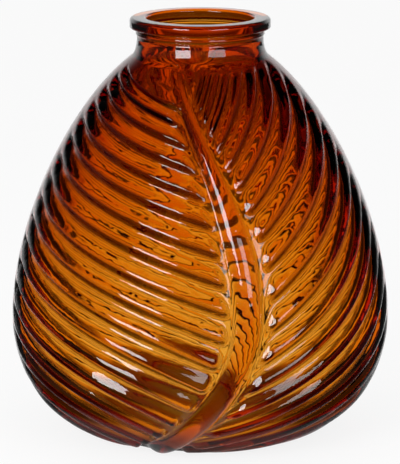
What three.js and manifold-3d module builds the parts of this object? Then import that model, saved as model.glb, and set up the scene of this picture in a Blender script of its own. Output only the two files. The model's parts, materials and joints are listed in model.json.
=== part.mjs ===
// Moulded glass vase with a leaf on its front and the same leaf on its back.
// Millimetres, +Z up, the foot stands on z = 0 and the front faces -Y.
// The vase is one piece of glass: body, neck, bead ring and lip are one solid.

import * as THREE from 'three';
import { mergeVertices } from 'three/addons/utils/BufferGeometryUtils.js';
import Module from 'manifold-3d';

// Body: its half section runs from the foot over the belly to the neck root
const FOOT_RADIUS = 60;
const BELLY_RADIUS = 115.3;
const BELLY_LEVEL = 72;
const NECK_ROOT_RADIUS = 41.5;
const NECK_ROOT_LEVEL = 231.8;
const HEEL_PULL_OUT = 30.8;
const HEEL_PULL_UP = 2.9;
const HEEL_BELLY_PULL = 38.8;
const FLANK_BELLY_PULL = 55.7;
const FLANK_NECK_PULL_OUT = 38;
const FLANK_NECK_PULL_DOWN = 28.8;

// Neck, bead ring and lip
const HEIGHT = 255;
const NECK_RADIUS = 38.3;
const NECK_STRAIGHT_LEVEL = 243;
const NECK_FLARE_OUT = 1.6;
const NECK_FLARE_UP = 1.4;
const NECK_FLARE_PULL = 5.5;
const NECK_LEDGE = 0.3;
const NECK_SINK = 3;
const NOTCH_RADIUS = 37.6;
const NOTCH_ROUND = 0.5;
const BEAD_LEVEL = 245.5;
const BEAD_HEIGHT = 3;
const BEAD_BULGE = 1.4;
const LIP_RADIUS = 42.7;
const LIP_UNDER_LEVEL = 248.4;
const LIP_UNDER_ROUND = 1.3;
const LIP_ROUND = 2.2;
const BORE_RADIUS = 32.5;
const BORE_ROUND = 1.6;
const BORE_END_LEVEL = 238;

// Glass thickness, from the envelope that the ribs' crests touch
const BELLY_WALL = 7.5;
const SHOULDER_WALL = 11.7;
const SHOULDER_WALL_START = 60;
const SHOULDER_WALL_END = 290;
const HEEL_WALL = 8;
const HEEL_WALL_END = 40;
const FLOOR_ARC = 8;
const FLOOR_LEVEL = 9;
const FLOOR_SHARE = 0.6;
const PUSH_UP_RADIUS = 48;
const PUSH_UP_HEIGHT = 4;

// Midrib: a round band that leans, with angles in degrees from the front
const MIDRIB_PEAK_ANGLE = 15;
const MIDRIB_PEAK_ARC = 127;
const MIDRIB_TOP_SWING = 35.6;
const MIDRIB_FOOT_SWING = 42;
const MIDRIB_HALF_WIDTH = 9;
const MIDRIB_TIP_HALF_WIDTH = 4;
const MIDRIB_TAPER_START = 150;
const MIDRIB_TIP_ARC = 252;
const MIDRIB_TIP_FADE = 26;
const MIDRIB_CREST = 1.4;
const MIDRIB_BEND = 1.2;
const MIDRIB_FILLET = 0.07;

// Ribs: grooves between them are numbered upwards, and each runs from the
// midrib out to the side seam. Starts and ends are arc lengths from the foot,
// as the control values of a curve over the groove's number.
const LOW_GROOVE_DEPTH = 4.4;
const HIGH_GROOVE_DEPTH = 3;
const DEPTH_CHANGE_START = 90;
const DEPTH_CHANGE_END = 210;
const FIRST_GROOVE = -3;
const LAST_GROOVE = 15;
const SPARE_GROOVES = 2;
const LEFT_STARTS = [-34, 41, 71, 194, 245];
const LEFT_ENDS = [33, 115, 156, 247, 282];
const LEFT_BOW = -0.147;
const RIGHT_STARTS = [-18, 30, 161, 221, 240];
const RIGHT_ENDS = [53, 201, 196, 367, 423];
const RIGHT_BOW = 0.126;
const CREST_PHASE = 0.38;
const CREST_ROUND = 0.5;
const GROOVE_ROUND = 0.4;
const FINGER_GAP = 1.6;
const FINGER_ROUND = 7.5;
const SEAM_ANGLE = 90;
const SEAM_GAP = 14;
const SEAM_FADE = 12;

// The relief dies away before the foot, the neck and above the last left rib
const FOOT_FADE = 6;
const CREST_FOOT_START = 4;
const CREST_FOOT_END = 16;
const NECK_FADE = 14;
const SHOULDER_FADE_PHASE = 0.4;

// Mesh steps
const PROFILE_STEPS = 300;
const RIB_PHASES = [0, 0.14, 0.38, 0.62, 0.86];
const FINGER_STEPS = [0.12, 0.5, 1.1];
const RIB_PARTS = [0.25, 0.5, 0.75, 1];
const SEAM_STEPS = [0.5, 1];
const MIDRIB_COLUMNS = [-1.12, -0.72, -0.25, 0.25, 0.72, 1.12];
const PLAIN_ROWS = 36;
const END_MARGIN = 1.2;
const GROOVE_SEARCH_STEP = 0.1;
const NECK_FACETS = 56;
const FLARE_STEPS = 4;
const CAVITY_FACETS = 44;
const CAVITY_ROWS = 14;
const FLOOR_STEPS = 3;
const CUTTER_EXTRA = 5;

const DEGREE = Math.PI / 180;
const smoothstep = THREE.MathUtils.smoothstep;
const clamp = THREE.MathUtils.clamp;

const wasm = await Module();
wasm.setup();

// Half section of the body

const heel = new THREE.CubicBezierCurve(
  new THREE.Vector2(FOOT_RADIUS, 0),
  new THREE.Vector2(FOOT_RADIUS + HEEL_PULL_OUT, HEEL_PULL_UP),
  new THREE.Vector2(BELLY_RADIUS, BELLY_LEVEL - HEEL_BELLY_PULL),
  new THREE.Vector2(BELLY_RADIUS, BELLY_LEVEL),
);
const flank = new THREE.CubicBezierCurve(
  new THREE.Vector2(BELLY_RADIUS, BELLY_LEVEL),
  new THREE.Vector2(BELLY_RADIUS, BELLY_LEVEL + FLANK_BELLY_PULL),
  new THREE.Vector2(NECK_ROOT_RADIUS + FLANK_NECK_PULL_OUT, NECK_ROOT_LEVEL - FLANK_NECK_PULL_DOWN),
  new THREE.Vector2(NECK_ROOT_RADIUS, NECK_ROOT_LEVEL),
);
const section = new THREE.CurvePath();
section.add(heel);
section.add(flank);
section.arcLengthDivisions = PROFILE_STEPS;
heel.arcLengthDivisions = PROFILE_STEPS;
flank.arcLengthDivisions = PROFILE_STEPS;
const ARC = section.getLength();

// Point of the half section at an arc length, moved outwards by an offset
function sectionPoint(arc, offset) {
  const place = clamp(arc / ARC, 0, 1);
  const point = section.getPointAt(place);
  const tangent = section.getTangentAt(place);
  return new THREE.Vector2(point.x + offset * tangent.y, point.y - offset * tangent.x);
}

// Leaf lines

function midribAngle(arc) {
  const up = Math.max(arc - MIDRIB_PEAK_ARC, 0) / (ARC - MIDRIB_PEAK_ARC);
  const down = Math.max(MIDRIB_PEAK_ARC - arc, 0) / MIDRIB_PEAK_ARC;
  return MIDRIB_PEAK_ANGLE - MIDRIB_TOP_SWING * up ** 2 - MIDRIB_FOOT_SWING * down ** 2;
}

function midribHalfWidth(arc) {
  const taper = smoothstep(arc, MIDRIB_TAPER_START, MIDRIB_TIP_ARC);
  return THREE.MathUtils.lerp(MIDRIB_HALF_WIDTH, MIDRIB_TIP_HALF_WIDTH, taper);
}

// Value of a curve through its control values, at a place from 0 to 1
function blend(values, place) {
  let row = values;
  while (row.length > 1) {
    const lower = row;
    row = lower.slice(1).map((value, i) => THREE.MathUtils.lerp(lower[i], value, place));
  }
  return row[0];
}

const left = { side: -1, starts: LEFT_STARTS, ends: LEFT_ENDS, bow: LEFT_BOW };
const right = { side: 1, starts: RIGHT_STARTS, ends: RIGHT_ENDS, bow: RIGHT_BOW };

// Arc length of a groove line at its share of the way from midrib to seam
function grooveArc(half, groove, share) {
  const place = (groove - FIRST_GROOVE) / (LAST_GROOVE - FIRST_GROOVE);
  const start = blend(half.starts, place);
  const end = blend(half.ends, place);
  return start + (end - start) * (share + half.bow * share * (share - 1));
}

// Length round the body from the midrib's centre line to the seam
function halfLength(half, arc) {
  const turn = Math.abs(half.side * SEAM_ANGLE - midribAngle(arc));
  return sectionPoint(arc, 0).x * turn * DEGREE;
}

function angleAt(half, arc, share) {
  const centre = midribAngle(arc);
  return centre + share * (half.side * SEAM_ANGLE - centre);
}

// Relief heights, from the envelope

function valleyHeight(half, arc, groove) {
  const rise = smoothstep(arc, DEPTH_CHANGE_START, DEPTH_CHANGE_END);
  const depth = THREE.MathUtils.lerp(LOW_GROOVE_DEPTH, HIGH_GROOVE_DEPTH, rise);
  const foot = smoothstep(arc, 0, FOOT_FADE);
  const neck = 1 - smoothstep(arc, ARC - NECK_FADE, ARC);
  const aboveLast = smoothstep(groove, LAST_GROOVE, LAST_GROOVE + SHOULDER_FADE_PHASE);
  const shoulder = half.side < 0 ? 1 - aboveLast : 1;
  return -depth * foot * neck * shoulder;
}

// Share of the depth lost on the way from a crest, 0, to a groove, 1: a round
// top, a straight flank and a round groove, joined without a kink
function fall(away) {
  const slope = 1 / (1 - CREST_ROUND / 2 - GROOVE_ROUND / 2);
  if (away < CREST_ROUND) return (slope * away ** 2) / (2 * CREST_ROUND);
  if (away > 1 - GROOVE_ROUND) return 1 - (slope * (1 - away) ** 2) / (2 * GROOVE_ROUND);
  return slope * (away - CREST_ROUND / 2);
}

function ribHeight(half, arc, groove, share) {
  const phase = groove - Math.floor(groove);
  const halfPhase = phase < CREST_PHASE ? CREST_PHASE : 1 - CREST_PHASE;
  const across = (phase - CREST_PHASE) / halfPhase;
  const length = halfLength(half, arc);
  const fingerDistance = share * length - midribHalfWidth(arc);
  const along = clamp(1 - (fingerDistance - FINGER_GAP) / FINGER_ROUND, 0, 1);
  const away = Math.min(Math.hypot(across, along), 1);
  const seam = smoothstep((1 - share) * length, SEAM_GAP, SEAM_GAP + SEAM_FADE);
  return valleyHeight(half, arc, groove) * fall(away) * seam;
}

// Groove number that passes a place beside the midrib
function grooveBeside(half, arc) {
  let groove = FIRST_GROOVE;
  while (groove < LAST_GROOVE + 1 && grooveArc(half, groove, 0) < arc) groove += GROOVE_SEARCH_STEP;
  return groove;
}

// Rise of the midrib over the valley beside it: a circle's arc, 1 on the centre
// line and 0 at the edges, that meets the valley with a small fillet
function midribRise(across) {
  const base = Math.sqrt(MIDRIB_BEND ** 2 - 1);
  const inside = Math.min(Math.abs(across), 1);
  const beyond = Math.abs(across) - inside;
  const circle = Math.sqrt(MIDRIB_BEND ** 2 - inside ** 2) - base;
  const arch = (circle - beyond / base) / (MIDRIB_BEND - base);
  return (arch + Math.hypot(arch, MIDRIB_FILLET)) / 2;
}

function midribHeight(arc, across) {
  const half = across < 0 ? left : right;
  const edge = valleyHeight(half, arc, grooveBeside(half, arc));
  const tip = 1 - smoothstep(arc, MIDRIB_TIP_ARC - MIDRIB_TIP_FADE, MIDRIB_TIP_ARC);
  const foot = smoothstep(arc, CREST_FOOT_START, CREST_FOOT_END);
  const crest = MIDRIB_CREST * tip * foot;
  return edge + (crest - edge) * midribRise(across);
}

// Columns: lists of surface points that climb from the foot to the neck root.
// A point holds its angle, arc length, height and the groove number it is on.

function plainColumn(angleOf, heightOf) {
  const points = [];
  for (let row = 0; row <= PLAIN_ROWS; row += 1) {
    const arc = (ARC * row) / PLAIN_ROWS;
    points.push({ arc, groove: arc, angle: angleOf(arc), height: heightOf(arc) });
  }
  return points;
}

function ribColumn(half, shareOf) {
  const points = [];
  points.push({ arc: 0, groove: -Infinity, angle: angleAt(half, 0, shareOf(0)), height: 0 });
  for (let rib = FIRST_GROOVE - SPARE_GROOVES; rib < LAST_GROOVE + SPARE_GROOVES; rib += 1) {
    for (const phase of RIB_PHASES) {
      const groove = rib + phase;
      let arc = ARC / 2;
      for (let step = 0; step < 8; step += 1) arc = grooveArc(half, groove, shareOf(arc));
      if (arc < END_MARGIN || arc > ARC - END_MARGIN) continue;
      const share = shareOf(arc);
      const height = ribHeight(half, arc, groove, share);
      points.push({ arc, groove, angle: angleAt(half, arc, share), height });
    }
  }
  points.push({ arc: ARC, groove: Infinity, angle: angleAt(half, ARC, shareOf(ARC)), height: 0 });
  return points;
}

// All columns of half a leaf, from beside the midrib to beside the seam, by
// their distance from the midrib's centre line
function halfLeafColumns(half) {
  const fingerEnd = (arc, step) => midribHalfWidth(arc) + FINGER_GAP + step * FINGER_ROUND;
  const ribEnd = (arc, step) => halfLength(half, arc) - SEAM_GAP - SEAM_FADE * (1 - step);
  const distances = [
    ...FINGER_STEPS.map((step) => (arc) => fingerEnd(arc, step)),
    ...RIB_PARTS.map((part) => (arc) => (
      THREE.MathUtils.lerp(fingerEnd(arc, FINGER_STEPS.at(-1)), ribEnd(arc, 0), part))),
    ...SEAM_STEPS.map((step) => (arc) => ribEnd(arc, step)),
  ];
  return distances.map((distance) => (
    ribColumn(half, (arc) => distance(arc) / halfLength(half, arc))));
}

function leafColumns() {
  const seam = plainColumn(() => -SEAM_ANGLE, () => 0);
  const band = MIDRIB_COLUMNS.map((across) => plainColumn(
    (arc) => midribAngle(arc) + (across * midribHalfWidth(arc)) / sectionPoint(arc, 0).x / DEGREE,
    (arc) => midribHeight(arc, across),
  ));
  return [
    { key: 'arc', points: seam },
    ...halfLeafColumns(left).reverse().map((points) => ({ key: 'groove', points })),
    ...band.map((points) => ({ key: 'arc', points })),
    ...halfLeafColumns(right).map((points) => ({ key: 'groove', points })),
  ];
}

// Closed solid from the columns of both leaves, with a flat cap at each end
function leafBody() {
  const positions = [];
  const triangles = [];
  const addPoint = (x, y, z) => positions.push(x, y, z) / 3 - 1;
  const columns = [];
  for (const turn of [0, 180]) {
    for (const { key, points } of leafColumns()) {
      const indexed = points.map((point) => {
        const place = sectionPoint(point.arc, point.height);
        const angle = (point.angle + turn) * DEGREE;
        const index = addPoint(place.x * Math.sin(angle), -place.x * Math.cos(angle), place.y);
        return { ...point, index };
      });
      columns.push({ key, points: indexed });
    }
  }
  const bottom = addPoint(0, 0, 0);
  const top = addPoint(0, 0, NECK_ROOT_LEVEL);
  columns.forEach((column, i) => {
    const next = columns[(i + 1) % columns.length];
    const key = column.key === 'groove' && next.key === 'groove' ? 'groove' : 'arc';
    let a = 0;
    let b = 0;
    while (a < column.points.length - 1 || b < next.points.length - 1) {
      const stepA = a < column.points.length - 1 ? column.points[a + 1][key] : Infinity;
      const stepB = b < next.points.length - 1 ? next.points[b + 1][key] : Infinity;
      const moveA = b === next.points.length - 1 || (a < column.points.length - 1 && stepA <= stepB);
      const from = column.points[a].index;
      const to = next.points[b].index;
      if (moveA) a += 1;
      else b += 1;
      triangles.push(from, to, moveA ? column.points[a].index : next.points[b].index);
    }
    triangles.push(bottom, next.points[0].index, column.points[0].index);
    triangles.push(top, column.points.at(-1).index, next.points.at(-1).index);
  });
  const geometry = new THREE.BufferGeometry();
  geometry.setAttribute('position', new THREE.Float32BufferAttribute(positions, 3));
  geometry.setIndex(triangles);
  return geometry;
}

// Turned parts of the same glass

// Points of an arc about a centre, from one angle to another in degrees
function arcPoints(centreX, centreY, radiusX, radiusY, from, to, steps) {
  return Array.from({ length: steps + 1 }, (_, i) => {
    const angle = THREE.MathUtils.lerp(from, to, i / steps) * DEGREE;
    return new THREE.Vector2(centreX + radiusX * Math.cos(angle), centreY + radiusY * Math.sin(angle));
  });
}

// Profile of radius and height turned about the Z axis
function turned(profile, facets) {
  return new THREE.LatheGeometry(profile, facets).rotateX(Math.PI / 2);
}

function neckGeometry() {
  const flare = new THREE.CubicBezierCurve(
    new THREE.Vector2(NECK_ROOT_RADIUS - NECK_LEDGE, NECK_ROOT_LEVEL + NECK_LEDGE),
    new THREE.Vector2(NECK_ROOT_RADIUS - NECK_FLARE_OUT, NECK_ROOT_LEVEL + NECK_FLARE_UP),
    new THREE.Vector2(NECK_RADIUS, NECK_STRAIGHT_LEVEL - NECK_FLARE_PULL),
    new THREE.Vector2(NECK_RADIUS, NECK_STRAIGHT_LEVEL),
  );
  const beadHalf = BEAD_HEIGHT / 2;
  const under = LIP_UNDER_ROUND;
  const profile = [
    new THREE.Vector2(0, NECK_ROOT_LEVEL - NECK_SINK),
    new THREE.Vector2(NECK_RADIUS - NECK_SINK, NECK_ROOT_LEVEL - NECK_SINK),
    ...flare.getPoints(FLARE_STEPS),
    ...arcPoints(NOTCH_RADIUS, BEAD_LEVEL, BEAD_BULGE, beadHalf, -90, 90, 4),
    new THREE.Vector2(NOTCH_RADIUS, LIP_UNDER_LEVEL - NOTCH_ROUND),
    new THREE.Vector2(NOTCH_RADIUS + NOTCH_ROUND, LIP_UNDER_LEVEL),
    ...arcPoints(LIP_RADIUS - under, LIP_UNDER_LEVEL + under, under, under, -90, 0, 2),
    ...arcPoints(LIP_RADIUS - LIP_ROUND, HEIGHT - LIP_ROUND, LIP_ROUND, LIP_ROUND, 0, 90, 3),
    new THREE.Vector2(0, HEIGHT),
  ];
  return turned(profile, NECK_FACETS);
}

// Thickness of the glass under the crests at an arc length
function wallAt(arc) {
  const rise = smoothstep(arc, SHOULDER_WALL_START, SHOULDER_WALL_END);
  const heelShare = 1 - smoothstep(arc, FLOOR_ARC, HEEL_WALL_END);
  const wall = THREE.MathUtils.lerp(BELLY_WALL, SHOULDER_WALL, rise);
  return wall + (HEEL_WALL - BELLY_WALL) * heelShare;
}

function cavityGeometry() {
  const floorEdge = sectionPoint(FLOOR_ARC, -wallAt(FLOOR_ARC));
  const floor = new THREE.CubicBezierCurve(
    new THREE.Vector2(0, FLOOR_LEVEL),
    new THREE.Vector2(floorEdge.x * (1 - FLOOR_SHARE), FLOOR_LEVEL),
    new THREE.Vector2(floorEdge.x * FLOOR_SHARE, floorEdge.y),
    floorEdge,
  );
  const profile = floor.getPoints(FLOOR_STEPS);
  for (let row = 1; row <= CAVITY_ROWS; row += 1) {
    const arc = THREE.MathUtils.lerp(FLOOR_ARC, ARC, row / CAVITY_ROWS);
    profile.push(sectionPoint(arc, -wallAt(arc)));
  }
  profile.push(
    new THREE.Vector2(BORE_RADIUS, BORE_END_LEVEL),
    new THREE.Vector2(BORE_RADIUS, HEIGHT - BORE_ROUND),
    ...arcPoints(BORE_RADIUS + BORE_ROUND, HEIGHT - BORE_ROUND, BORE_ROUND, BORE_ROUND, 150, 90, 2),
    new THREE.Vector2(BORE_RADIUS + BORE_ROUND, HEIGHT + CUTTER_EXTRA),
    new THREE.Vector2(0, HEIGHT + CUTTER_EXTRA),
  );
  return turned(profile, CAVITY_FACETS);
}

function pushUpGeometry() {
  const profile = [
    new THREE.Vector2(0, -CUTTER_EXTRA),
    new THREE.Vector2(PUSH_UP_RADIUS, -CUTTER_EXTRA),
    ...arcPoints(0, 0, PUSH_UP_RADIUS, PUSH_UP_HEIGHT, 0, 90, 4),
  ];
  return turned(profile, CAVITY_FACETS);
}

// Solids

function solidFrom(geometry) {
  const plain = geometry.clone();
  plain.deleteAttribute('normal');
  plain.deleteAttribute('uv');
  const merged = mergeVertices(plain, 1e-4);
  return new wasm.Manifold(new wasm.Mesh({
    numProp: 3,
    vertProperties: Float32Array.from(merged.attributes.position.array),
    triVerts: Uint32Array.from(merged.index.array),
  }));
}

function geometryFrom(solid) {
  const mesh = solid.getMesh();
  const geometry = new THREE.BufferGeometry();
  geometry.setAttribute('position', new THREE.BufferAttribute(mesh.vertProperties, 3));
  geometry.setIndex(new THREE.BufferAttribute(mesh.triVerts, 1));
  geometry.computeVertexNormals();
  return geometry;
}

const glassSolid = solidFrom(leafBody())
  .add(solidFrom(neckGeometry()))
  .subtract(solidFrom(cavityGeometry()))
  .subtract(solidFrom(pushUpGeometry()));

const amberGlass = new THREE.MeshStandardMaterial({ color: 0xc8640a, roughness: 0.05, metalness: 0 });
const vase = new THREE.Mesh(geometryFrom(glassSolid), amberGlass);
vase.name = 'glass_vase';

const group = new THREE.Group();
group.name = 'moulded_leaf_vase';
group.add(vase);

export default group;
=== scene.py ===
"""Moulded amber glass vase with a ribbed leaf in relief on its front and on its back.

Metres, +Z up. The foot ring stands on z = 0 and the front leaf faces -Y. The glass is worked out
in millimetres and brought to metres once, when its mesh is made.
"""

import json
import logging
import math
from dataclasses import dataclass, field
from enum import Enum
from typing import Callable, Optional, Union

import bpy
import numpy as np
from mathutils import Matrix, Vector

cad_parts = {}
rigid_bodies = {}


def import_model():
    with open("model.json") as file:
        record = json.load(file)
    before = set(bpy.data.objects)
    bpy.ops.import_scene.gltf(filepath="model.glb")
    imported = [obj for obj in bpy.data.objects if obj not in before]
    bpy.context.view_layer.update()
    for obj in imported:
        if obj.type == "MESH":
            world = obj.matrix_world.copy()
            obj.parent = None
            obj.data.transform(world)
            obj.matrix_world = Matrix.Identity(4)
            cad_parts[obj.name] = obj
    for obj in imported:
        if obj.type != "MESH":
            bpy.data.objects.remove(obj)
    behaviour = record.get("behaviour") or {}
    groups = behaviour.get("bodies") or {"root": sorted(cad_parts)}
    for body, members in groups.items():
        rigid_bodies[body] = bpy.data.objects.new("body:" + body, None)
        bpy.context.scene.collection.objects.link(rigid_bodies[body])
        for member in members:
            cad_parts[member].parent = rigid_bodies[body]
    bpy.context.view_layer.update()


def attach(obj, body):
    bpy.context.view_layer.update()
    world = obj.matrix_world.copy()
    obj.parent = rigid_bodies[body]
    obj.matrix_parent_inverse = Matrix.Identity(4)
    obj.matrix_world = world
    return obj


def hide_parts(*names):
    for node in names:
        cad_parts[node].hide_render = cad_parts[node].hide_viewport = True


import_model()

LOG = logging.getLogger("leaf_vase")
MM = 0.001
IMAGE_WIDTH = 400
IMAGE_HEIGHT = 464
FULL_TURN = 2 * math.pi
WHITE = (1.0, 1.0, 1.0, 1.0)

Array = np.ndarray
Pair = tuple[float, float]


def smoothstep(low: float, high: float, value: Array) -> Array:
    """Eases from 0 to 1 between two values.

    Args:
        low: where the result leaves 0.
        high: where the result reaches 1.
        value: numbers to ease.

    Returns:
        3x^2 - 2x^3, with x the place of the value between low and high, kept in 0 to 1.
    """
    x = np.clip((np.asarray(value, float) - low) / (high - low), 0.0, 1.0)
    return x * x * (3.0 - 2.0 * x)


def bezier(controls: list[Pair], steps: int) -> Array:
    """Points of a cubic curve.

    Args:
        controls: four control points.
        steps: number of steps along the curve.

    Returns:
        Array of steps + 1 points, the Bernstein sum of the controls.
    """
    p = np.asarray(controls, float)
    t = np.linspace(0.0, 1.0, steps + 1)[:, None]
    return (
        (1 - t) ** 3 * p[0] + 3 * (1 - t) ** 2 * t * p[1] + 3 * (1 - t) * t**2 * p[2] + t**3 * p[3]
    )


def ellipse_arc(centre: Pair, radii: Pair, start: float, stop: float, steps: int) -> Array:
    """Points of an ellipse's arc in the plane of radius and height.

    Args:
        centre: radius and height of the centre.
        radii: half axes along radius and height.
        start: first angle in degrees, from the outward direction.
        stop: last angle in degrees.
        steps: number of steps.

    Returns:
        Array of steps + 1 points, centre + radii * (cos, sin).
    """
    angle = np.radians(np.linspace(start, stop, steps + 1))
    return np.stack(
        [centre[0] + radii[0] * np.cos(angle), centre[1] + radii[1] * np.sin(angle)], axis=1
    )


@dataclass
class Ring:
    """Ring of points round the axis, with the angle of each in radians."""

    ids: Array
    angles: Array

    def closed(self) -> tuple[Array, Array]:
        """Point numbers and angles, with the first point again at the end."""
        return np.append(self.ids, self.ids[0]), np.append(self.angles, self.angles[0] + FULL_TURN)


@dataclass
class Skin:
    """Points and triangles of one closed surface while it is put together."""

    _points: list[Array] = field(default_factory=list)
    _triangles: list[Array] = field(default_factory=list)
    _count: int = 0

    def points(self) -> Array:
        """All points, in millimetres."""
        return np.vstack(self._points)

    def triangles(self) -> Array:
        """All triangles."""
        return np.vstack(self._triangles)

    def add(self, points: Array) -> Array:
        """Adds points.

        Args:
            points: positions in millimetres.

        Returns:
            Their numbers.
        """
        ids = self._count + np.arange(len(points))
        self._points.append(points)
        self._count += len(points)
        return ids

    def _face(self, triangles: Array, flip: bool) -> None:
        """Adds triangles, turned round where flip is true."""
        self._triangles.append(triangles[:, ::-1] if flip else triangles)

    def zip(self, ids_a: Array, key_a: Array, ids_b: Array, key_b: Array, flip: bool) -> None:
        """Adds triangles between two lines of points, taking the next point with the lower key.

        Args:
            ids_a: point numbers of the left line.
            key_a: its rising keys.
            ids_b: point numbers of the right line.
            key_b: its rising keys.
            flip: True where the faces have to be turned round.
        """
        keys = np.concatenate([key_a[1:], key_b[1:]])
        from_b = np.concatenate([np.zeros(len(key_a) - 1, int), np.ones(len(key_b) - 1, int)])
        from_b = from_b[np.argsort(keys, kind="stable")]
        at_b = np.cumsum(from_b)
        at_a = np.cumsum(1 - from_b)
        first, second = ids_a[at_a - (1 - from_b)], ids_b[at_b - from_b]
        third = np.where(from_b == 1, ids_b[at_b], ids_a[at_a])
        self._face(np.stack([first, second, third], axis=1), flip)

    def join_rings(self, first: Ring, second: Ring, flip: bool) -> None:
        """Joins two rings that start at the same angle but have other points."""
        self.zip(*first.closed(), *second.closed(), flip=flip)

    def turn(self, ring: Ring, profile: Array, flip: bool) -> Ring:
        """Adds the rings of a turned profile.

        Args:
            ring: ring that the surface starts on.
            profile: radius and height of each further ring.
            flip: True where the faces have to be turned round.

        Returns:
            The last ring, its points at radius * (sin, -cos) of the first ring's angles.
        """
        flat = np.stack([np.sin(ring.angles), -np.cos(ring.angles)], axis=1)
        rings = profile[:, 0][:, None, None] * flat[None, :, :]
        heights = np.broadcast_to(profile[:, 1][:, None, None], (*rings.shape[:2], 1))
        added = self.add(np.concatenate([rings, heights], axis=2).reshape(-1, 3))
        ids = np.vstack([ring.ids[None, :], added.reshape(len(profile), -1)])
        low, high = ids[:-1], ids[1:]
        low_next, high_next = np.roll(low, -1, axis=1), np.roll(high, -1, axis=1)
        lower = np.stack([low.ravel(), low_next.ravel(), high_next.ravel()], axis=1)
        upper = np.stack([low.ravel(), high_next.ravel(), high.ravel()], axis=1)
        self._face(np.concatenate([lower, upper]), flip)
        return Ring(ids[-1], ring.angles)

    def close(self, ring: Ring, height: float, flip: bool) -> None:
        """Closes a ring with triangles to a pole on the axis.

        Args:
            ring: ring round the pole.
            height: height of the pole.
            flip: True where the faces have to be turned round.
        """
        pole = self.add(np.array([[0.0, 0.0, height]]))
        around = np.roll(ring.ids, -1)
        self._face(np.stack([ring.ids, around, np.full(len(around), pole[0])], axis=1), flip)


def mesh_object(name: str, points: Array, triangles: Array) -> bpy.types.Object:
    """Puts points and triangles into a smooth mesh object at the origin.

    Args:
        name: object and mesh name.
        points: positions in metres.
        triangles: point numbers, three a face.

    Returns:
        The new object, linked to the scene.
    """
    mesh = bpy.data.meshes.new(name)
    mesh.vertices.add(len(points))
    mesh.vertices.foreach_set("co", np.ascontiguousarray(points, np.float32).ravel())
    mesh.loops.add(3 * len(triangles))
    mesh.loops.foreach_set("vertex_index", np.ascontiguousarray(triangles, np.int32).ravel())
    mesh.polygons.add(len(triangles))
    mesh.polygons.foreach_set("loop_start", np.arange(0, 3 * len(triangles), 3, dtype=np.int32))
    mesh.update(calc_edges=True)
    mesh.validate()
    mesh.polygons.foreach_set("use_smooth", np.ones(len(mesh.polygons), bool))
    piece = bpy.data.objects.new(name, mesh)
    bpy.context.scene.collection.objects.link(piece)
    return piece


@dataclass
class BodySection:
    """Half section of the body, in millimetres, from the foot to the neck root."""

    foot_radius: float = 60.0
    belly_radius: float = 115.3
    belly_level: float = 72.0
    root_radius: float = 41.5
    root_level: float = 231.8
    heel_pull: Pair = (30.8, 2.9)
    heel_belly_pull: float = 38.8
    flank_belly_pull: float = 55.7
    flank_root_pull: Pair = (38.0, 28.8)
    steps: int = 800
    points: Array = field(init=False)
    arcs: Array = field(init=False)
    length: float = field(init=False)

    def __post_init__(self) -> None:
        """Samples the two curves, heel and flank, and measures their length."""
        foot = (self.foot_radius, 0.0)
        belly = (self.belly_radius, self.belly_level)
        root = (self.root_radius, self.root_level)
        heel = bezier(
            [
                foot,
                (foot[0] + self.heel_pull[0], self.heel_pull[1]),
                (belly[0], belly[1] - self.heel_belly_pull),
                belly,
            ],
            self.steps,
        )
        flank = bezier(
            [
                belly,
                (belly[0], belly[1] + self.flank_belly_pull),
                (root[0] + self.flank_root_pull[0], root[1] - self.flank_root_pull[1]),
                root,
            ],
            self.steps,
        )
        self.points = np.vstack([heel, flank[1:]])
        chords = np.hypot(*np.diff(self.points, axis=0).T)
        self.arcs = np.concatenate([[0.0], np.cumsum(chords)])
        self.length = float(self.arcs[-1])

    def radius(self, arc: Array) -> Array:
        """Radius of the envelope at an arc length."""
        return np.interp(arc, self.arcs, self.points[:, 0])

    def moved(self, arc: Array, offset: Array) -> tuple[Array, Array]:
        """Radius and height at an arc length, moved outwards by an offset.

        Args:
            arc: arc lengths from the foot.
            offset: distances outwards along the section's normal.

        Returns:
            Radii and heights: the point plus offset times (dz, -dr), the turned tangent.
        """
        slope = np.gradient(self.points, self.arcs, axis=0)
        columns = (*self.points.T, *slope.T)
        r, z, dr, dz = (np.interp(arc, self.arcs, column) for column in columns)
        size = np.hypot(dr, dz)
        return r + offset * dz / size, z - offset * dr / size


class Side(Enum):
    """Side of the leaf, as the sign of its angles."""

    LEFT = -1
    RIGHT = 1


@dataclass(frozen=True)
class GrooveFamily:
    """Grooves of one half of the leaf, numbered upwards.

    The starts and ends are control values of their arc lengths at the midrib and at the seam.
    """

    side: Side
    starts: tuple[float, ...]
    ends: tuple[float, ...]
    bow: float
    first: int = -3
    last: int = 15

    @staticmethod
    def _blend(values: tuple[float, ...], place: Array) -> Array:
        """Value of the curve through control values.

        Args:
            values: control values.
            place: places along the curve, from 0 to 1.

        Returns:
            Neighbours mixed by the place again and again, until one value is left.
        """
        rows = [np.full_like(place, value) for value in values]
        while len(rows) > 1:
            rows = [low + (high - low) * place for low, high in zip(rows, rows[1:])]
        return rows[0]

    def arc(self, groove: Array, share: Array) -> Array:
        """Arc length of groove lines.

        Args:
            groove: groove numbers, with fractions for the lines between.
            share: place from the midrib's centre line, 0, to the seam, 1.

        Returns:
            start + (end - start) * (share + bow * share * (share - 1)).
        """
        place = (groove - self.first) / (self.last - self.first)
        start = self._blend(self.starts, place)
        end = self._blend(self.ends, place)
        return start + (end - start) * (share + self.bow * share * (share - 1.0))


@dataclass
class Column:
    """Line of surface points that climbs from the foot circle to the neck root circle.

    The heights are measured outwards from the envelope, and the angles are degrees from -Y.
    """

    arc: Array
    groove: Array
    angle: Array
    height: Array
    by_groove: bool


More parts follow.
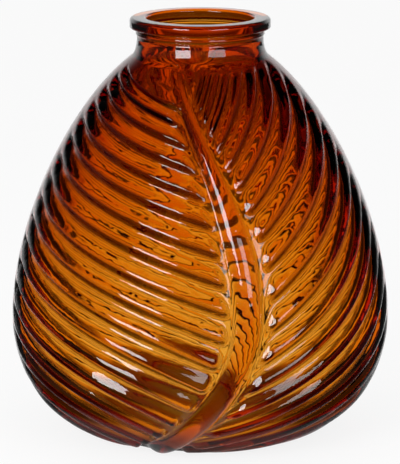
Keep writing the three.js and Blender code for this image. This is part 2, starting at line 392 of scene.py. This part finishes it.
@dataclass
class LeafRelief:
    """Relief of one leaf: a leaning midrib and round ribs on both sides of it."""

    section: BodySection
    left: GrooveFamily = GrooveFamily(
        Side.LEFT,
        starts=(-34.0, 41.0, 71.0, 194.0, 245.0),
        ends=(33.0, 115.0, 156.0, 247.0, 282.0),
        bow=-0.147,
    )
    right: GrooveFamily = GrooveFamily(
        Side.RIGHT,
        starts=(-18.0, 30.0, 161.0, 221.0, 240.0),
        ends=(53.0, 201.0, 196.0, 367.0, 423.0),
        bow=0.126,
    )
    seam_angle: float = 90.0
    seam_gap: Pair = (14.0, 26.0)
    low_depth: float = 4.4
    high_depth: float = 3.0
    depth_change: Pair = (90.0, 210.0)
    crest_phase: float = 0.38
    crest_round: float = 0.5
    groove_round: float = 0.4
    finger_gap: float = 1.6
    finger_round: float = 7.5
    peak_angle: float = 15.0
    peak_arc: float = 127.0
    top_swing: float = 35.6
    foot_swing: float = 42.0
    midrib_half_width: float = 9.0
    midrib_tip_half_width: float = 4.0
    midrib_taper_start: float = 150.0
    midrib_tip: float = 252.0
    midrib_tip_fade: float = 26.0
    midrib_crest: float = 1.4
    midrib_bend: float = 1.2
    midrib_reach: float = 1.12
    midrib_fillet: float = 0.07
    foot_fade: Pair = (0.0, 6.0)
    crest_foot: Pair = (4.0, 16.0)
    root_fade: float = 14.0
    shoulder_fade: float = 0.4
    spare_grooves: int = 2
    bottom: float = 0.0
    end_margin: float = 0.6
    end_key: float = 1000.0
    plain_rows: int = 200
    phases: tuple[float, ...] = (
        0.0, 0.03, 0.07, 0.14, 0.22, 0.3, 0.36, 0.42, 0.5, 0.6, 0.72, 0.85, 0.93, 0.97,
    )
    finger_columns: int = 10
    finger_start: float = 0.03
    finger_overrun: float = 1.1
    rib_columns: int = 26
    band_columns: int = 19
    beside_lines: int = 400
    line_rounds: int = 12

    def midrib_angle(self, arc: Array) -> Array:
        """Angle of the midrib's centre line.

        Args:
            arc: arc lengths.

        Returns:
            Degrees: the peak's angle minus a parabola above the peak and one below it.
        """
        up = np.clip(arc - self.peak_arc, 0.0, None) / (self.section.length - self.peak_arc)
        down = np.clip(self.peak_arc - arc, 0.0, None) / self.peak_arc
        return self.peak_angle - self.top_swing * up**2 - self.foot_swing * down**2

    def half_width(self, arc: Array) -> Array:
        """Half width of the midrib.

        Args:
            arc: arc lengths.

        Returns:
            Millimetres, eased from the band's half width to the tip's.
        """
        narrowing = self.midrib_tip_half_width - self.midrib_half_width
        taper = smoothstep(self.midrib_taper_start, self.midrib_tip, arc)
        return self.midrib_half_width + narrowing * taper

    def half_length(self, family: GrooveFamily, arc: Array) -> Array:
        """Length round the body from the midrib's centre line to the seam."""
        turn = np.abs(family.side.value * self.seam_angle - self.midrib_angle(arc))
        return self.section.radius(arc) * np.radians(turn)

    def angle(self, family: GrooveFamily, arc: Array, share: Array) -> Array:
        """Angle in degrees at a share of the way from the midrib to the seam."""
        centre = self.midrib_angle(arc)
        return centre + share * (family.side.value * self.seam_angle - centre)

    def valley(self, family: GrooveFamily, arc: Array, groove: Array) -> Array:
        """Height of the ground between ribs.

        Args:
            family: grooves of this half.
            arc: arc lengths.
            groove: groove numbers with fractions.

        Returns:
            Minus the grooves' depth, eased to 0 at the foot, at the neck root and, on the left
            half, past the last groove.
        """
        foot = smoothstep(*self.foot_fade, arc)
        root = 1.0 - smoothstep(self.section.length - self.root_fade, self.section.length, arc)
        shoulder = np.ones_like(arc)
        if family.side is Side.LEFT:
            shoulder = 1.0 - smoothstep(family.last, family.last + self.shoulder_fade, groove)
        rise = smoothstep(*self.depth_change, arc)
        depth = self.low_depth + (self.high_depth - self.low_depth) * rise
        return -depth * foot * root * shoulder

    def rib_height(self, family: GrooveFamily, arc: Array, groove: Array, share: Array) -> Array:
        """Height of the ribbed surface from the envelope.

        Args:
            family: grooves of this half.
            arc: arc lengths.
            groove: groove numbers with fractions.
            share: share of the way to the seam.

        Returns:
            valley * fall(across and along), so a rib has a round crest, straight flanks, a round
            groove and a domed end at the midrib.
        """
        phase = groove - np.floor(groove)
        half = np.where(phase < self.crest_phase, self.crest_phase, 1.0 - self.crest_phase)
        across = (phase - self.crest_phase) / half
        length = self.half_length(family, arc)
        distance = share * length - self.half_width(arc)
        along = np.clip(1.0 - (distance - self.finger_gap) / self.finger_round, 0.0, 1.0)
        away = np.clip(np.hypot(across, along), 0.0, 1.0)
        margin = smoothstep(*self.seam_gap, (1.0 - share) * length)
        return self.valley(family, arc, groove) * self._fall(away) * margin

    def _fall(self, away: Array) -> Array:
        """Share of the depth lost on the way from a crest to a groove.

        Args:
            away: place between crest, 0, and groove, 1.

        Returns:
            A parabola, then a straight line, then a parabola, joined without a kink.
        """
        crest, groove = self.crest_round, self.groove_round
        slope = 1.0 / (1.0 - crest / 2 - groove / 2)
        round_top = slope * away**2 / (2 * crest)
        straight = slope * (away - crest / 2)
        round_foot = 1.0 - slope * (1.0 - away) ** 2 / (2 * groove)
        lower = np.where(away > 1.0 - groove, round_foot, straight)
        return np.where(away < crest, round_top, lower)

    def midrib_height(self, arc: Array, across: float) -> Array:
        """Height of the midrib: a round band that meets the valley with a small fillet.

        Args:
            arc: arc lengths.
            across: place from -1, the left edge, to 1, the right edge.

        Returns:
            edge + (crest - edge) * the smooth maximum of a circle's arc and 0.
        """
        family = self.left if across < 0 else self.right
        grooves = np.linspace(family.first - 1.0, family.last + 1.0, self.beside_lines)
        beside = np.interp(arc, family.arc(grooves, np.zeros_like(grooves)), grooves)
        edge = self.valley(family, arc, beside)
        tip = 1.0 - smoothstep(self.midrib_tip - self.midrib_tip_fade, self.midrib_tip, arc)
        crest = self.midrib_crest * tip * smoothstep(*self.crest_foot, arc)
        base = math.sqrt(self.midrib_bend**2 - 1.0)
        inside = min(abs(across), 1.0)
        arch = math.sqrt(self.midrib_bend**2 - inside**2) - base
        arch = (arch - max(abs(across) - 1.0, 0.0) / base) / (self.midrib_bend - base)
        rise = (arch + math.hypot(arch, self.midrib_fillet)) / 2
        return edge + (crest - edge) * rise

    def rib_column(self, family: GrooveFamily, share_of: Callable[[Array], Array]) -> Column:
        """Column whose points lie on the same lines between grooves as its neighbours'.

        Args:
            family: grooves of this half.
            share_of: share of the way to the seam at an arc length.

        Returns:
            The column, from the foot circle to the neck root circle. Each point's arc length is
            found by putting it into the groove line's formula again and again.
        """
        ribs = np.arange(family.first - self.spare_grooves, family.last + self.spare_grooves)
        groove = (ribs[:, None] + np.asarray(self.phases)[None, :]).ravel()
        arc = np.full_like(groove, self.section.length / 2)
        for _ in range(self.line_rounds):
            arc = family.arc(groove, share_of(arc))
        inside = arc > self.bottom + self.end_margin
        inside &= arc < self.section.length - self.end_margin
        arc = np.concatenate([[self.bottom], arc[inside], [self.section.length]])
        groove = np.concatenate([[-self.end_key], groove[inside], [self.end_key]])
        share = share_of(arc)
        height = self.rib_height(family, arc, groove, share)
        height[[0, -1]] = 0.0
        return Column(arc, groove, self.angle(family, arc, share), height, by_groove=True)

    def half_columns(self, family: GrooveFamily) -> list[Column]:
        """Columns of half a leaf.

        Args:
            family: grooves of this half.

        Returns:
            Columns from beside the midrib to beside the seam: close ones over the ribs' round
            ends, then even ones, each at part + (1 - part) * (half width + gap) / half length.
        """
        steps = np.linspace(self.finger_start, 1.0, self.finger_columns)
        gaps = self.finger_gap + self.finger_round * steps * self.finger_overrun
        parts = np.linspace(0.0, 1.0, self.rib_columns + 2)[1:-1]
        places = [(gap, 0.0) for gap in gaps] + [(gaps[-1], part) for part in parts]
        return [
            self.rib_column(
                family,
                lambda arc, gap=gap, part=part: part
                + (1.0 - part) * (self.half_width(arc) + gap) / self.half_length(family, arc),
            )
            for gap, part in places
        ]

    def columns(self) -> list[Column]:
        """All columns of the leaf.

        Returns:
            Columns from the left seam to beside the right seam. Those of the seam and the midrib
            have even steps of arc length.
        """
        arc = np.linspace(self.bottom, self.section.length, self.plain_rows + 1)
        seam = Column(
            arc, arc, np.full_like(arc, -self.seam_angle), np.zeros_like(arc), by_groove=False
        )
        centre, radius = self.midrib_angle(arc), self.section.radius(arc)
        width = self.half_width(arc)
        band = [
            Column(
                arc, arc, centre + np.degrees(across * width / radius),
                self.midrib_height(arc, across), by_groove=False,
            )
            for across in np.linspace(-self.midrib_reach, self.midrib_reach, self.band_columns)
        ]
        return [seam, *self.half_columns(self.left)[::-1], *band, *self.half_columns(self.right)]


@dataclass
class MouldedVase:
    """The whole piece of glass: leaf body, neck, bead ring, lip, cavity and foot."""

    name: str = "glass_vase_moulded"
    section: BodySection = field(default_factory=BodySection)
    top: float = 255.0
    neck_radius: float = 38.3
    neck_straight: float = 243.0
    neck_edge: float = 0.4
    flare_root_pull: Pair = (1.6, 1.4)
    flare_neck_pull: float = 5.5
    flare_steps: int = 12
    notch_radius: float = 37.6
    notch_edge: float = 0.1
    bead_level: float = 245.5
    bead_height: float = 3.0
    bead_bulge: float = 1.0
    bead_seat: float = 0.4
    bead_gaps: Pair = (0.3, 0.4)
    bead_steps: int = 10
    lip_radius: float = 42.7
    lip_under: float = 248.4
    lip_round: float = 2.2
    lip_steps: int = 8
    lip_under_round: float = 1.3
    lip_under_steps: int = 6
    lip_notch_gap: float = 0.6
    lip_notch_edge: Pair = (0.5, 0.1)
    bore_radius: float = 32.5
    bore_round: float = 1.6
    throat_levels: Pair = (6.0, 1.0)
    throat_wall_pull: Pair = (1.6, 2.0)
    throat_steps: int = 8
    belly_wall: float = 4.5
    shoulder_wall: float = 8.3
    wall_change: Pair = (60.0, 290.0)
    heel_wall: float = 6.4
    heel_change: Pair = (8.0, 26.0)
    inner_depths: Pair = (2.3, 1.2)
    inner_foot_fade: Pair = (1.0, 14.0)
    floor_arc: float = 8.0
    floor_wall_pull: Pair = (12.0, 0.6)
    floor_flat_share: float = 0.6
    floor_end: float = 3.0
    floor_steps: int = 14
    base_thickness: float = 6.5
    foot_ring_radius: float = 56.0
    push_up_radius: float = 48.0
    push_up_height: float = 3.5
    push_up_edge: float = 1.5
    push_up_angles: Pair = (4.0, 86.0)
    push_up_steps: int = 12

    def neck_profile(self) -> Array:
        """Outside of the neck and the lip, then the bore.

        Returns:
            Radius and height of each ring: a curve up to the straight neck, the notch and the
            bead, the notch under the lip, and the lip's and the bore's round edges.
        """
        root = (self.section.root_radius, self.section.root_level)
        flare = bezier(
            [
                root,
                (root[0] - self.flare_root_pull[0], root[1] + self.flare_root_pull[1]),
                (self.neck_radius, self.neck_straight - self.flare_neck_pull),
                (self.neck_radius, self.neck_straight),
            ],
            self.flare_steps,
        )
        notch, half = self.notch_radius, self.bead_height / 2
        under, edge, bore = self.lip_under_round, self.lip_round, self.bore_round
        return np.vstack(
            [
                flare[1:],
                [(notch + self.notch_edge, self.neck_straight + self.neck_edge)],
                [(notch, self.bead_level - half - self.bead_gaps[0])],
                ellipse_arc((notch + self.bead_seat, self.bead_level), (self.bead_bulge, half),
                            -90.0, 90.0, self.bead_steps),
                [(notch, self.bead_level + half + self.bead_gaps[1])],
                [(notch, self.lip_under - self.lip_notch_gap)],
                [(notch + self.lip_notch_edge[0], self.lip_under - self.lip_notch_edge[1])],
                ellipse_arc((self.lip_radius - under, self.lip_under + under), (under, under),
                            -90.0, 0.0, self.lip_under_steps),
                ellipse_arc((self.lip_radius - edge, self.top - edge), (edge, edge),
                            0.0, 90.0, self.lip_steps),
                ellipse_arc((self.bore_radius + bore, self.top - bore), (bore, bore),
                            90.0, 180.0, self.lip_steps),
            ]
        )

    def inner_leaf(self) -> LeafRelief:
        """Relief of the inner wall: the leaf again, shallower, softer and with fewer points."""
        return LeafRelief(
            self.section,
            low_depth=self.inner_depths[0],
            high_depth=self.inner_depths[1],
            crest_round=0.6,
            groove_round=0.4,
            midrib_crest=0.4,
            foot_fade=(
                self.floor_arc + self.inner_foot_fade[0], self.floor_arc + self.inner_foot_fade[1]
            ),
            root_fade=40.0,
            bottom=self.floor_arc,
            plain_rows=120,
            phases=(0.0, 0.1, 0.22, 0.38, 0.54, 0.7, 0.86),
            finger_columns=4,
            rib_columns=20,
            band_columns=11,
        )

    def wall(self, arc: Array) -> Array:
        """Thickness of the glass under the ribs' crests.

        Args:
            arc: arc lengths.

        Returns:
            The belly's wall, eased to the shoulder's above it and to the heel's below it.
        """
        rise = smoothstep(*self.wall_change, arc)
        heel = 1.0 - smoothstep(*self.heel_change, arc)
        shoulder = (self.shoulder_wall - self.belly_wall) * rise
        return self.belly_wall + shoulder + (self.heel_wall - self.belly_wall) * heel

    def _inner_point(self, arc: float) -> Pair:
        """Radius and height of the smooth inner wall at one arc length."""
        r, z = self.section.moved(np.array([arc]), -self.wall(np.array([arc])))
        return r[0], z[0]

    def throat_profile(self) -> Array:
        """Bore of the neck, widening down to the inner wall.

        Returns:
            Radius and height of each ring above the wall's highest one, a cubic curve.
        """
        r, z = self._inner_point(self.section.length)
        level = self.section.root_level
        curve = bezier(
            [
                (self.bore_radius, level + self.throat_levels[0]),
                (self.bore_radius, level + self.throat_levels[1]),
                (r - self.throat_wall_pull[0], z + self.throat_wall_pull[1]),
                (r, z),
            ],
            self.throat_steps,
        )
        return curve[:-1]

    def floor_profile(self) -> Array:
        """Inside floor, from the inner wall's lowest circle to near the axis.

        Returns:
            Radius and height of each ring after the wall's lowest one, a cubic curve.
        """
        r, z = self._inner_point(self.floor_arc)
        curve = bezier(
            [
                (r, z),
                (r - self.floor_wall_pull[0], z - self.floor_wall_pull[1]),
                (r * self.floor_flat_share, self.base_thickness),
                (self.floor_end, self.base_thickness),
            ],
            self.floor_steps,
        )
        return curve[1:]

    def foot_profile(self) -> Array:
        """Foot ring and push-up, from inside the foot circle to near the centre.

        Returns:
            Radius and height of each ring: two flat ones, then a quarter of an ellipse.
        """
        size = (self.push_up_radius, self.push_up_height)
        dome = ellipse_arc((0.0, 0.0), size, *self.push_up_angles, self.push_up_steps)
        flat = [(self.foot_ring_radius, 0.0), (self.push_up_radius + self.push_up_edge, 0.0)]
        return np.vstack([flat, dome])

    def build(self) -> bpy.types.Object:
        """Joins the leaf columns and the turned profiles into one closed mesh.

        Returns:
            The vase's object, at the origin, with smooth faces.
        """
        glass = Skin()
        outer_leaf = LeafRelief(self.section)
        outer_foot, outer_root = self._climb(glass, outer_leaf, inset=0.0, flip=False)
        neck = glass.turn(outer_root, self.neck_profile(), flip=False)
        throat = glass.turn(neck, self.throat_profile(), flip=False)
        inner_floor, inner_root = self._climb(glass, self.inner_leaf(), inset=1.0, flip=True)
        glass.join_rings(throat, inner_root, flip=True)
        floor = glass.turn(inner_floor, self.floor_profile(), flip=False)
        glass.close(floor, self.base_thickness, flip=False)
        push_up = glass.turn(outer_foot, self.foot_profile(), flip=True)
        glass.close(push_up, self.push_up_height, flip=True)
        return mesh_object(self.name, glass.points() * MM, glass.triangles())

    def _climb(self, glass: Skin, leaf: LeafRelief, inset: float, flip: bool) -> tuple[Ring, Ring]:
        """Adds the columns of the front leaf, and of the back leaf half a turn round.

        Args:
            glass: skin to add to.
            leaf: relief to follow.
            inset: share of the wall's thickness that the surface lies inside the envelope.
            flip: True where the faces look at the cavity.

        Returns:
            The lowest and the highest ring.
        """
        columns: list[tuple[Column, Array]] = []
        low, high, low_angles, high_angles = [], [], [], []
        for turn in (0.0, 180.0):
            for column in leaf.columns():
                offset = column.height - inset * self.wall(column.arc)
                r, z = self.section.moved(column.arc, offset)
                angle = np.radians(column.angle + turn)
                ids = glass.add(np.stack([r * np.sin(angle), -r * np.cos(angle), z], axis=1))
                columns.append((column, ids))
                low.append(ids[0])
                high.append(ids[-1])
                low_angles.append(angle[0])
                high_angles.append(angle[-1])
        for (a, ids_a), (b, ids_b) in zip(columns, columns[1:] + columns[:1]):
            by_groove = a.by_groove and b.by_groove
            key_a, key_b = (a.groove, b.groove) if by_groove else (a.arc, b.arc)
            glass.zip(ids_a, key_a, ids_b, key_b, flip)
        return (
            Ring(np.array(low), np.array(low_angles)),
            Ring(np.array(high), np.array(high_angles)),
        )


Value = Union["Shade", float, tuple[float, ...]]


@dataclass(frozen=True)
class Ramp:
    """Smooth change of a value, from before it reaches start to after it passes end."""

    start: float
    end: float
    before: float
    after: float


class Ray(Enum):
    """Kinds of light path, as the sockets that tell them apart."""

    CAMERA = "Is Camera Ray"
    GLOSSY = "Is Glossy Ray"
    THROUGH = "Is Transmission Ray"


@dataclass
class Shade:
    """A shader socket that can be used in arithmetic. An output node's has no socket."""

    graph: "ShaderGraph"
    socket: Optional[bpy.types.NodeSocket]

    def _math(self, operation: str, first: Value, second: Value) -> "Shade":
        """Math node of one operation on two values."""
        return self.graph.node("ShaderNodeMath", {"operation": operation}, {0: first, 1: second})

    def __add__(self, other: Value) -> "Shade":
        """Sum."""
        return self._math("ADD", self, other)

    def __radd__(self, other: Value) -> "Shade":
        """Sum, reflected."""
        return self._math("ADD", other, self)

    def __sub__(self, other: Value) -> "Shade":
        """Difference."""
        return self._math("SUBTRACT", self, other)

    def __rsub__(self, other: Value) -> "Shade":
        """Difference, reflected."""
        return self._math("SUBTRACT", other, self)

    def __mul__(self, other: Value) -> "Shade":
        """Product."""
        return self._math("MULTIPLY", self, other)

    def __rmul__(self, other: Value) -> "Shade":
        """Product, reflected."""
        return self._math("MULTIPLY", other, self)

    def maximum(self, other: Value) -> "Shade":
        """Larger of two values."""
        return self._math("MAXIMUM", self, other)

    def size(self) -> "Shade":
        """Value without its sign."""
        return self.maximum(0.0 - self)

    def eased(self, ramp: Ramp) -> "Shade":
        """Smoothstep of the value along a ramp."""
        return self.graph.node(
            "ShaderNodeMapRange", {"interpolation_type": "SMOOTHSTEP"},
            {"Value": self, "From Min": ramp.start, "From Max": ramp.end,
             "To Min": ramp.before, "To Max": ramp.after},
        )


@dataclass
class ShaderGraph:
    """Node tree of a material or a world, filled through one method."""

    tree: bpy.types.NodeTree

    def node(self, kind: str, settings: dict[str, object], inputs: dict[Union[int, str], Value],
             output: Union[int, str] = 0) -> Shade:
        """Makes a node.

        Args:
            kind: node type.
            settings: properties, set before the sockets.
            inputs: numbers, colours or shades by socket name or number.
            output: socket that the result stands for.

        Returns:
            The output socket as a shade.
        """
        made = self.tree.nodes.new(kind)
        for name, value in settings.items():
            setattr(made, name, value)
        for key, value in inputs.items():
            if isinstance(value, Shade):
                self.tree.links.new(value.socket, made.inputs[key])
            else:
                made.inputs[key].default_value = value
        return Shade(self, made.outputs[output] if made.outputs else None)

    def ray(self, kind: Ray) -> Shade:
        """1 on light paths of one kind, and 0 on others."""
        return self.node("ShaderNodeLightPath", {}, {}, kind.value)

    def coordinate(self, kind: str) -> Shade:
        """Texture coordinate of one kind."""
        return self.node("ShaderNodeTexCoord", {}, {}, kind)

    def axis(self, vector: Shade, name: str) -> Shade:
        """One number of a vector."""
        return self.node("ShaderNodeSeparateXYZ", {}, {"Vector": vector}, name)

    def length(self, vector: Shade) -> Shade:
        """Length of a vector."""
        return self.node("ShaderNodeVectorMath", {"operation": "LENGTH"}, {0: vector}, "Value")


def new_material(name: str) -> tuple[bpy.types.Material, ShaderGraph]:
    """Makes an empty node material.

    Args:
        name: the material's name.

    Returns:
        The material and its graph.
    """
    material = bpy.data.materials.new(name)
    material.use_nodes = True
    material.node_tree.nodes.clear()
    return material, ShaderGraph(material.node_tree)


@dataclass(frozen=True)
class AmberGlass:
    """Clear amber glass whose colour deepens and reddens with its thickness.

    What it absorbs of red, green and blue is given per metre. Mould ripples cover the body, and
    the fire-polished neck and lip, above the ramp on height, have none.
    """

    name: str = "amber_glass"
    ior: float = 1.52
    roughness: float = 0.025
    absorbed: tuple[float, float, float] = (34.0, 194.0, 650.0)
    density: float = 2000.0
    ripple_scale: float = 60.0
    ripple_detail: float = 2.0
    ripple_height: float = 0.0006
    ripple_strength: float = 0.85
    moulded: Ramp = Ramp(0.215, 0.232, 1.0, 0.0)

    def material(self) -> bpy.types.Material:
        """Makes the glass.

        Returns:
            A clear, faintly rippled surface round an absorbing volume. The volume takes
            density * (1 - colour) per metre, so its colour is 1 - absorbed / density.
        """
        material, graph = new_material(self.name)
        place = graph.coordinate("Object")
        ripple = graph.node(
            "ShaderNodeTexNoise", {},
            {"Vector": place, "Scale": self.ripple_scale, "Detail": self.ripple_detail},
        )
        moulded = graph.axis(place, "Z").eased(self.moulded)
        bump = graph.node(
            "ShaderNodeBump", {},
            {"Strength": self.ripple_strength, "Distance": self.ripple_height,
             "Height": ripple * moulded},
        )
        surface = graph.node(
            "ShaderNodeBsdfPrincipled", {},
            {"Base Color": WHITE, "Roughness": self.roughness, "IOR": self.ior,
             "Transmission Weight": 1.0, "Normal": bump},
        )
        colour = (1.0 - value / self.density for value in self.absorbed)
        volume = graph.node(
            "ShaderNodeVolumeAbsorption", {}, {"Color": (*colour, 1.0), "Density": self.density}
        )
        graph.node("ShaderNodeOutputMaterial", {}, {"Surface": surface, "Volume": volume})
        return material


@dataclass(frozen=True)
class StudioWhite:
    """White of the floor: it takes the shadow, and shows white to the camera and the glass.

    The ramps darken what the glass alone sees: a painted shadow on the floor right under the vase,
    and a ring beside and in front of it and the far floor, as dark cards and a darker room do
    round a glass in a studio. They are fixed on the floor, in metres. far, around and
    mirrored_foot run on the distance from the vase's axis, under, the painted shadow, on that from
    a point under_shift nearer the camera, mirrored_back on Y, beside and mirrored_beside on |X| -
    lean * Y, and ahead on Y - lean * |X|.
    """

    name: str = "floor_white"
    colour: tuple[float, float, float] = (0.9, 0.9, 0.9)
    camera_glow: float = 0.85
    far: Ramp = Ramp(0.6, 1.25, 1.0, 0.15)
    around: Ramp = Ramp(0.28, 0.4, 0.0, 1.0)
    beside: Ramp = Ramp(0.14, 0.24, 1.0, 0.04)
    beside_lean: float = 0.2
    ahead: Ramp = Ramp(-0.26, -0.16, 0.05, 1.0)
    ahead_lean: float = 2.4
    # under and under_shift place a painted shadow: the floor that the glass sees through itself is
    # darkened right under the vase.
    under: Ramp = Ramp(0.065, 0.1, 0.2, 1.0)
    under_shift: float = 0.01
    mirrored_back: Ramp = Ramp(-0.05, 0.12, 0.03, 1.0)
    mirrored_beside: Ramp = Ramp(0.12, 0.28, 1.0, 0.05)
    mirrored_lean: float = 0.5
    mirrored_foot: Ramp = Ramp(0.1, 0.15, 0.45, 0.0)

    def _refracted(self, graph: ShaderGraph, place: Shade) -> Shade:
        """Light that the glass sees through itself.

        Args:
            graph: the material's graph.
            place: position on the floor.

        Returns:
            far * (the larger of around, and beside * ahead * under); under is a painted shadow.
        """
        side, back = graph.axis(place, "X").size(), graph.axis(place, "Y")
        radius = graph.length(place)
        shift = (0.0, self.under_shift, 0.0)
        moved = graph.node("ShaderNodeVectorMath", {"operation": "ADD"}, {0: place, 1: shift})
        beside = (side - self.beside_lean * back).eased(self.beside)
        ahead = (back - self.ahead_lean * side).eased(self.ahead)
        # Painted shadow: darkens the floor seen through the glass right under the vase.
        under = graph.length(moved).eased(self.under)
        ring = (beside * ahead * under).maximum(radius.eased(self.around))
        return radius.eased(self.far) * ring

    def _mirrored(self, graph: ShaderGraph, place: Shade) -> Shade:
        """Light that the glass mirrors.

        Args:
            graph: the material's graph.
            place: position on the floor.

        Returns:
            The larger of back * beside, and the light close round the foot.
        """
        side, back = graph.axis(place, "X").size(), graph.axis(place, "Y")
        beside = (side - self.mirrored_lean * back).eased(self.mirrored_beside)
        foot = graph.length(place).eased(self.mirrored_foot)
        return (back.eased(self.mirrored_back) * beside).maximum(foot)

    def material(self) -> bpy.types.Material:
        """Makes the white.

        Returns:
            Diffuse white, mixed with plain light where the camera or the glass sees it. A ray
            through glass also counts as glossy, so the mirror's share is 1 - through.
        """
        material, graph = new_material(self.name)
        camera, glossy, through = (graph.ray(kind) for kind in Ray)
        place = graph.coordinate("Object")
        seen = self._refracted(graph, place) * through
        seen = (seen + self._mirrored(graph, place) * (1.0 - through)).maximum(camera)
        light = graph.node("ShaderNodeEmission", {}, {"Strength": seen})
        diffuse = graph.node("ShaderNodeBsdfDiffuse", {}, {"Color": (*self.colour, 1.0)})
        share = (camera * self.camera_glow).maximum(glossy.maximum(through))
        surface = graph.node("ShaderNodeMixShader", {}, {0: share, 1: diffuse, 2: light})
        graph.node("ShaderNodeOutputMaterial", {}, {"Surface": surface})
        return material


@dataclass(frozen=True)
class StudioSky:
    """World: plain soft light, white to the camera, and a darker room to the glass.

    The ramps run on the direction's Z, up, and its Y, towards the back.
    """

    name: str = "studio_world"
    soft_light: float = 0.7
    refracted_up: Ramp = Ramp(-0.02, 0.16, 0.25, 0.12)
    refracted_away: Ramp = Ramp(0.55, 0.85, 0.3, 1.0)
    mirrored_up: Ramp = Ramp(0.2, 0.55, 1.0, 0.08)
    mirrored_back: Ramp = Ramp(0.55, 0.85, 0.05, 1.0)

    def world(self) -> bpy.types.World:
        """Makes the world.

        Returns:
            The world: soft light to diffuse surfaces, and a strength of up * away through the
            glass and up * back in its mirror.
        """
        world = bpy.data.worlds.new(self.name)
        world.use_nodes = True
        world.node_tree.nodes.clear()
        graph = ShaderGraph(world.node_tree)
        camera, glossy, through = (graph.ray(kind) for kind in Ray)
        direction = graph.coordinate("Generated")
        back, up = graph.axis(direction, "Y"), graph.axis(direction, "Z")
        refracted = up.eased(self.refracted_up) * back.size().eased(self.refracted_away)
        mirrored = up.eased(self.mirrored_up) * back.eased(self.mirrored_back)
        screen = (refracted * through + mirrored * (1.0 - through)).maximum(camera)
        soft, seen = (
            graph.node("ShaderNodeBackground", {}, {"Color": WHITE, "Strength": strength})
            for strength in (self.soft_light, screen)
        )
        share = camera.maximum(glossy).maximum(through)
        mixed = graph.node("ShaderNodeMixShader", {}, {0: share, 1: soft, 2: seen})
        graph.node("ShaderNodeOutputWorld", {}, {"Surface": mixed})
        return world


@dataclass(frozen=True)
class LampPlan:
    """Place and size of a softbox in degrees, seen from the vase, and its brightness."""

    azimuth: float
    elevation: float
    width: float
    height: float
    brightness: float


class Softbox(Enum):
    """Softboxes in front of the vase."""

    LEFT = LampPlan(azimuth=-31.0, elevation=18.0, width=26.0, height=22.0, brightness=11.0)
    RIGHT = LampPlan(azimuth=30.0, elevation=16.0, width=30.0, height=20.0, brightness=4.5)


@dataclass
class Studio:
    """Floor, world, lamps and camera."""

    target: tuple[float, float, float] = (0.0, 0.0, 0.1275)
    camera_distance: float = 1.9
    camera_elevation: float = 12.107
    focal_px: float = 3106.087
    target_px: Pair = (200.2, 223.31)
    sensor: float = 36.0
    lamp_distance: float = 1.3
    floor_reach: float = 3.0

    def floor(self) -> None:
        """Makes the pale floor, a wide square under the foot."""
        reach = self.floor_reach
        corners = ((-reach, -reach), (reach, -reach), (reach, reach), (-reach, reach))
        points = np.array([(x, y, 0.0) for x, y in corners])
        piece = mesh_object("studio_floor", points, np.array([(0, 1, 2), (0, 2, 3)]))
        piece.data.materials.append(StudioWhite().material())
        LOG.info("made %s", piece.name)

    def lamps(self) -> None:
        """Makes the softboxes, which face the vase and aren't seen through it."""
        for box in Softbox:
            plan = box.value
            light = bpy.data.lights.new("softbox_" + box.name.lower(), "AREA")
            light.shape = "RECTANGLE"
            light.size = 2 * self.lamp_distance * math.tan(math.radians(plan.width / 2))
            light.size_y = 2 * self.lamp_distance * math.tan(math.radians(plan.height / 2))
            light.energy = plan.brightness * math.pi * light.size * light.size_y
            lamp = bpy.data.objects.new(light.name, light)
            lamp.visible_transmission = False
            self._aim(lamp, plan.azimuth, plan.elevation, self.lamp_distance)
            LOG.info("made %s", lamp.name)

    def camera(self) -> None:
        """Makes the camera at the photograph's height, distance and framing."""
        data = bpy.data.cameras.new("camera")
        data.sensor_fit = "VERTICAL"
        data.sensor_height = self.sensor
        data.lens = self.focal_px / IMAGE_HEIGHT * self.sensor
        data.shift_x = (IMAGE_WIDTH / 2 - self.target_px[0]) / IMAGE_HEIGHT
        data.shift_y = (self.target_px[1] - IMAGE_HEIGHT / 2) / IMAGE_HEIGHT
        camera = bpy.data.objects.new("camera", data)
        self._aim(camera, 0.0, self.camera_elevation, self.camera_distance)
        bpy.context.scene.camera = camera

    def _aim(self, item: bpy.types.Object, azimuth: float, elevation: float,
             distance: float) -> None:
        """Places a lamp or the camera on a sphere round the target, and turns it to face that.

        Args:
            item: object to place and link.
            azimuth: degrees round the vase, 0 in front of it.
            elevation: degrees above the target.
            distance: metres from the target.
        """
        side, rise = math.radians(azimuth), math.radians(elevation)
        target = Vector(self.target)
        place = target + distance * Vector(
            (math.sin(side) * math.cos(rise), -math.cos(side) * math.cos(rise), math.sin(rise))
        )
        item.location = place
        item.rotation_euler = (target - place).to_track_quat("-Z", "Y").to_euler()
        bpy.context.scene.collection.objects.link(item)

    def build(self) -> None:
        """Makes everything that isn't the object."""
        bpy.context.scene.view_settings.view_transform = "Standard"
        self.floor()
        bpy.context.scene.world = StudioSky().world()
        self.lamps()
        self.camera()


def main() -> None:
    """Builds the vase and its studio."""
    logging.basicConfig(level=logging.INFO, format="%(name)s: %(message)s")
    vase = MouldedVase().build()
    vase.data.materials.append(AmberGlass().material())
    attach(vase, "root")
    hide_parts("glass_vase")
    LOG.info("made %s with %d faces", vase.name, len(vase.data.polygons))
    Studio().build()


if __name__ == "__main__":
    main()
